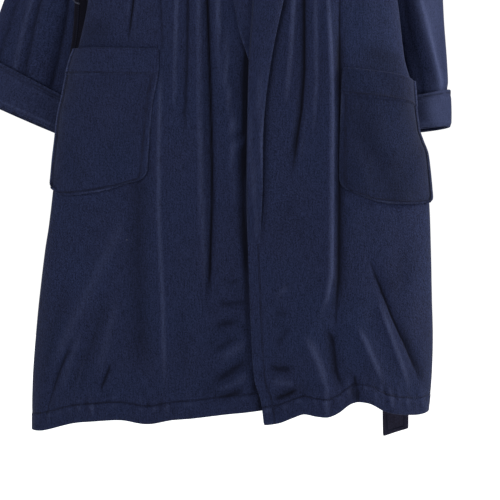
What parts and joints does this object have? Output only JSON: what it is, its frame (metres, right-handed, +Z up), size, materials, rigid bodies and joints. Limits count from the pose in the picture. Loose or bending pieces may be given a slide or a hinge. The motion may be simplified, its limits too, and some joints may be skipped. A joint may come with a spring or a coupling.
{
  "type": "bathrobe",
  "caption": "Long shawl-collar bathrobe in navy pile cloth with patch pockets, turned-back cuffs, a sash and a hanging loop, stored as it hangs.",
  "frame": {"origin": "underside of the hanging loop's top run, where a hook carries the robe", "axes": "+Z up as it hangs; the front of the robe faces -Y; +X is the wearer's left"},
  "size_m": [0.7997, 0.2553, 1.1636],
  "materials": {
    "pile_fabric": "matt pile",
    "twill_tape": "matt woven tape",
    "label_satin": "woven satin"
  },
  "bodies": {
    "robe_body": {"back_panel": "pile_fabric", "front_left_bodice": "pile_fabric", "front_right_bodice": "pile_fabric", "collar_left": "pile_fabric", "collar_right": "pile_fabric", "belt_back": "pile_fabric", "belt_loop_left": "twill_tape", "belt_loop_right": "twill_tape", "hang_loop": "twill_tape", "neck_tape": "twill_tape", "neck_label": "label_satin"},
    "skirt_left": {"front_left_skirt": "pile_fabric", "front_facing_left": "pile_fabric", "pocket_left": "pile_fabric", "pocket_band_left": "pile_fabric"},
    "arm_left": {"sleeve_left": "pile_fabric", "cuff_left": "pile_fabric"},
    "sash_end_left": {"belt_end_left": "pile_fabric"},
    "skirt_right": {"front_right_skirt": "pile_fabric", "front_facing_right": "pile_fabric", "pocket_right": "pile_fabric", "pocket_band_right": "pile_fabric"},
    "arm_right": {"sleeve_right": "pile_fabric", "cuff_right": "pile_fabric"},
    "sash_end_right": {"belt_end_right": "pile_fabric"}
  },
  "joints": [
    {"name": "front_left_opens", "type": "hinge", "parent": "robe_body", "child": "skirt_left", "pos_m": [0.276, -0.036, -0.45], "axis": [-0.0721, 0, 0.9974], "range_deg": [0, 45]},
    {"name": "front_right_opens", "type": "hinge", "parent": "robe_body", "child": "skirt_right", "pos_m": [-0.276, -0.036, -0.45], "axis": [-0.0721, 0, -0.9974], "range_deg": [0, 22.5]},
    {"name": "sleeve_left_raises", "type": "hinge", "parent": "robe_body", "child": "arm_left", "pos_m": [0.2375, -0.036, -0.0855], "axis": [0, -1, 0], "range_deg": [0, 75]},
    {"name": "sleeve_right_raises", "type": "hinge", "parent": "robe_body", "child": "arm_right", "pos_m": [-0.2375, -0.036, -0.0855], "axis": [0, 1, 0], "range_deg": [0, 75]},
    {"name": "sash_end_left_swings", "type": "hinge", "parent": "robe_body", "child": "sash_end_left", "pos_m": [0.24684, -0.00378, -0.426], "axis": [0, 1, 0], "range_deg": [-8, 8]},
    {"name": "sash_end_right_swings", "type": "hinge", "parent": "robe_body", "child": "sash_end_right", "pos_m": [-0.24684, -0.00378, -0.426], "axis": [0, 1, 0], "range_deg": [-8, 8]}
  ],
  "couplings": [
    {"joint": "front_right_opens", "follows": "front_left_opens", "ratio": 0.5}
  ]
}
